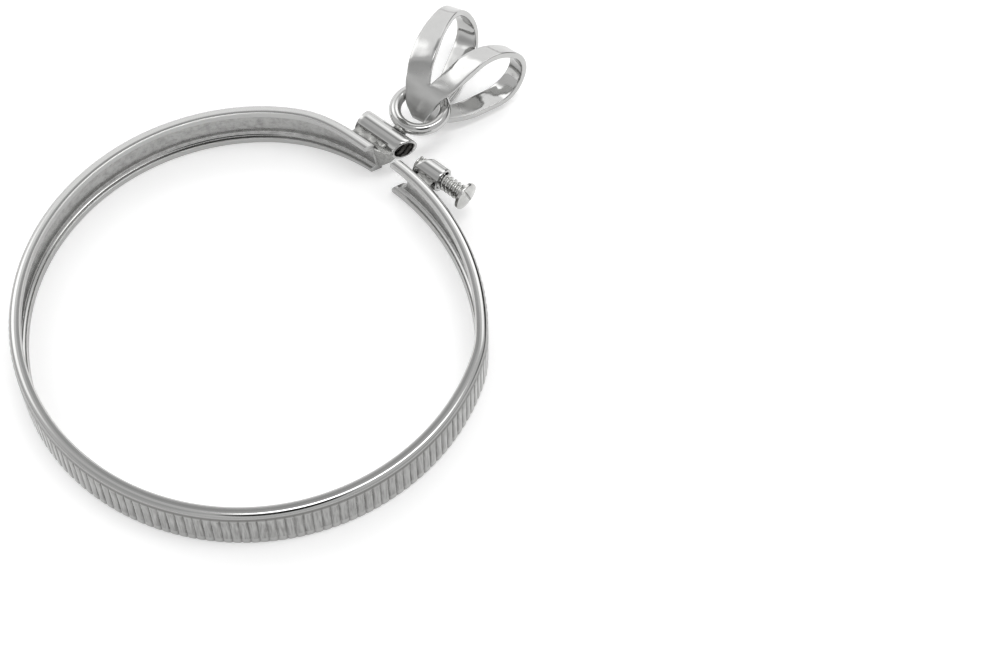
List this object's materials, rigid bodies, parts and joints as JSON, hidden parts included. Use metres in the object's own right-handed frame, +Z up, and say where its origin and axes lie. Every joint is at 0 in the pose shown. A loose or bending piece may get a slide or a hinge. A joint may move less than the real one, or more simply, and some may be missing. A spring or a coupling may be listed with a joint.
{
  "type": "coin bezel",
  "caption": "Split ring bezel with a channel for a coin's rim, closed by a screw through two tubes, with a twin-loop bail on a jump ring.",
  "frame": {"origin": "centre of the band's main circle, on the plane that its lower lip rests on", "axes": "+Z up out of the ring, along the coin's axis; +Y towards the split, the tubes and the bail; +X along the closing screw, towards its head"},
  "size_m": [0.0424, 0.0581, 0.0073],
  "materials": {
    "polished_silver": "mirror polished sterling silver with a rhodium flash",
    "bail_silver": "polished sterling silver strip",
    "screw_silver": "turned sterling silver, lightly polished"
  },
  "bodies": {
    "root": {"bezel_frame": "polished_silver", "bail": "bail_silver"},
    "screw": {"screw": "screw_silver"}
  },
  "joints": [
    {"name": "screw_slide", "type": "slide", "parent": "root", "child": "screw", "axis": [1, 0, 0], "range_m": [-0.002, 0.0024]}
  ]
}
